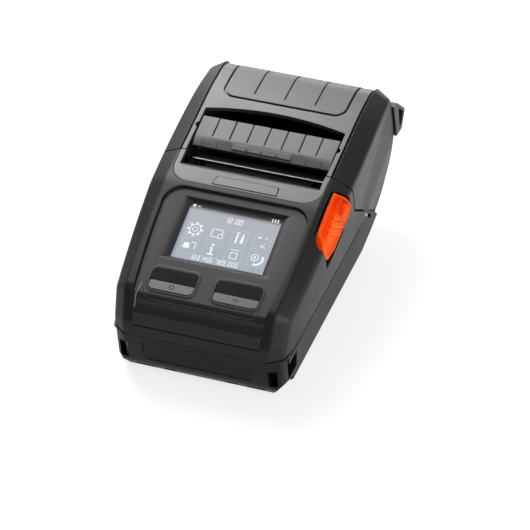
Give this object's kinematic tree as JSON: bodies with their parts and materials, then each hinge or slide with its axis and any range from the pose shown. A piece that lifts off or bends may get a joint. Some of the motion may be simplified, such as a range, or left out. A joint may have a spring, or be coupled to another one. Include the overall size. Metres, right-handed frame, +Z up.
{
  "type": "portable thermal printer",
  "caption": "Battery label and receipt printer with a sloping display panel, side release lever, opening roll door and label peeler.",
  "frame": {"origin": "centre of the footprint box, on the surface the printer stands on", "axes": "+X to the printer's right side with the release lever, +Y to its rear with the roll door, +Z up"},
  "size_m": [0.1048, 0.1776, 0.0795],
  "materials": {
    "shell": "fine moulded texture",
    "lower_shell": "fine moulded texture",
    "trim": "satin moulded",
    "panel": "satin moulded",
    "key": "satin",
    "dark": "matt",
    "pad": "soft touch",
    "orange": "satin",
    "glass": "lit display window",
    "display": "display module",
    "light": "translucent",
    "rubber": "matt",
    "steel": "brushed",
    "brass": "plated",
    "board": "coated board",
    "white": "acetal"
  },
  "bodies": {
    "case": {"lower_case": "lower_shell", "upper_case": "shell", "head_cover": "trim", "control_panel": "panel", "display_window": "glass", "display_module": "display", "key_board": "board", "key_mat": "rubber", "status_light": "light", "main_board": "board", "radio_module": "steel", "battery_contacts": "brass", "strap_bars": "steel", "usb_socket": "steel", "power_jack": "dark", "jack_pin": "brass", "port_board": "board", "roll_bucket": "dark", "media_sensor": "dark", "mech_frame": "steel", "head_pin": "steel", "feed_motor": "steel", "idler_axle": "steel", "lever_pin": "steel", "tear_bar": "steel", "hinge_pin": "steel", "case_screws": "steel"},
    "door": {"door_cheek_right": "shell", "door_cheek_left": "shell", "door_cover": "shell", "grip_pad": "pad", "door_liner": "dark", "peel_bar": "steel", "platen_bushes": "brass", "strap_loop_right": "shell", "strap_loop_left": "shell"},
    "platen": {"platen_roller": "rubber", "platen_shaft": "steel", "platen_gear": "white"},
    "idler": {"idler_gear": "white"},
    "motor_rotor": {"motor_pinion": "brass"},
    "head": {"print_head": "dark", "heat_sink": "steel"},
    "latch": {"latch_bar": "dark"},
    "lever": {"release_lever": "orange"},
    "key_left_lower": {"key_left_lower": "key"},
    "key_left_upper": {"key_left_upper": "key"},
    "key_right_lower": {"key_right_lower": "key"},
    "key_right_upper": {"key_right_upper": "key"},
    "battery": {"battery_pack": "lower_shell"},
    "port_cover": {"port_cover": "lower_shell"},
    "guide_left": {"media_guide_left": "dark"},
    "guide_right": {"media_guide_right": "dark"},
    "guide_pinion": {"guide_pinion": "white"},
    "peeler": {"peeler_flap": "dark"},
    "peeler_roller": {"peeler_roller": "rubber"}
  },
  "joints": [
    {"name": "door_hinge", "type": "hinge", "parent": "case", "child": "door", "pos_m": [0, 0.0622, 0.0192], "axis": [1, 0, 0], "range_deg": [-72, 0]},
    {"name": "platen_spin", "type": "hinge", "parent": "door", "child": "platen", "pos_m": [0, 0.0087, 0.0555], "axis": [1, 0, 0], "continuous": true},
    {"name": "idler_spin", "type": "hinge", "parent": "case", "child": "idler", "pos_m": [0, -0.00012, 0.04251], "axis": [1, 0, 0], "continuous": true},
    {"name": "motor_spin", "type": "hinge", "parent": "case", "child": "motor_rotor", "pos_m": [0, -0.00979, 0.03525], "axis": [1, 0, 0], "continuous": true},
    {"name": "head_tilt", "type": "hinge", "parent": "case", "child": "head", "pos_m": [0, -0.0032, 0.0436], "axis": [1, 0, 0], "range_deg": [0, 2.5], "stiffness_Nm_per_rad": 0.6, "springref_deg": -2.86},
    {"name": "lever_pull", "type": "hinge", "parent": "case", "child": "lever", "pos_m": [0.045, -0.0326, 0.0595], "axis": [0, -0.9712, -0.2382], "range_deg": [0, 22], "stiffness_Nm_per_rad": 0.05, "springref_deg": -5.73},
    {"name": "latch_turn", "type": "hinge", "parent": "case", "child": "latch", "pos_m": [0, -0.0088, 0.046], "axis": [1, 0, 0], "range_deg": [0, 6]},
    {"name": "key_left_lower_press", "type": "slide", "parent": "case", "child": "key_left_lower", "axis": [0, 0.309, -0.9511], "range_m": [0, 0.0008], "stiffness_N_per_m": 600, "springref_m": -0.0005},
    {"name": "key_left_upper_press", "type": "slide", "parent": "case", "child": "key_left_upper", "axis": [0, 0.309, -0.9511], "range_m": [0, 0.0008], "stiffness_N_per_m": 600, "springref_m": -0.0005},
    {"name": "key_right_lower_press", "type": "slide", "parent": "case", "child": "key_right_lower", "axis": [0, 0.309, -0.9511], "range_m": [0, 0.0008], "stiffness_N_per_m": 600, "springref_m": -0.0005},
    {"name": "key_right_upper_press", "type": "slide", "parent": "case", "child": "key_right_upper", "axis": [0, 0.309, -0.9511], "range_m": [0, 0.0008], "stiffness_N_per_m": 600, "springref_m": -0.0005},
    {"name": "battery_drop", "type": "slide", "parent": "case", "child": "battery", "axis": [0, 0, -1], "range_m": [0, 0.03]},
    {"name": "port_cover_fold", "type": "hinge", "parent": "case", "child": "port_cover", "pos_m": [0, -0.0879, 0.0089], "axis": [1, 0, 0], "range_deg": [0, 90]},
    {"name": "guide_right_slide", "type": "slide", "parent": "case", "child": "guide_right", "axis": [-1, 0, 0], "range_m": [0, 0.012]},
    {"name": "guide_left_slide", "type": "slide", "parent": "case", "child": "guide_left", "axis": [1, 0, 0], "range_m": [0, 0.012]},
    {"name": "guide_pinion_turn", "type": "hinge", "parent": "case", "child": "guide_pinion", "pos_m": [0, 0.0397, 0.01], "axis": [0, 0, 1], "range_deg": [0, 230]},
    {"name": "peeler_turn", "type": "hinge", "parent": "door", "child": "peeler", "pos_m": [0, 0.0213, 0.0696], "axis": [1, 0, 0], "range_deg": [0, 30]},
    {"name": "peeler_roller_spin", "type": "hinge", "parent": "peeler", "child": "peeler_roller", "pos_m": [0, 0.0146, 0.0672], "axis": [1, 0, 0], "continuous": true}
  ],
  "couplings": [
    {"joint": "idler_spin", "follows": "platen_spin", "ratio": -0.85714},
    {"joint": "motor_spin", "follows": "platen_spin", "ratio": 2},
    {"joint": "latch_turn", "follows": "lever_pull", "ratio": 0.27},
    {"joint": "guide_left_slide", "follows": "guide_right_slide", "ratio": 1},
    {"joint": "guide_pinion_turn", "follows": "guide_right_slide", "rad_per_m": 333.33}
  ]
}
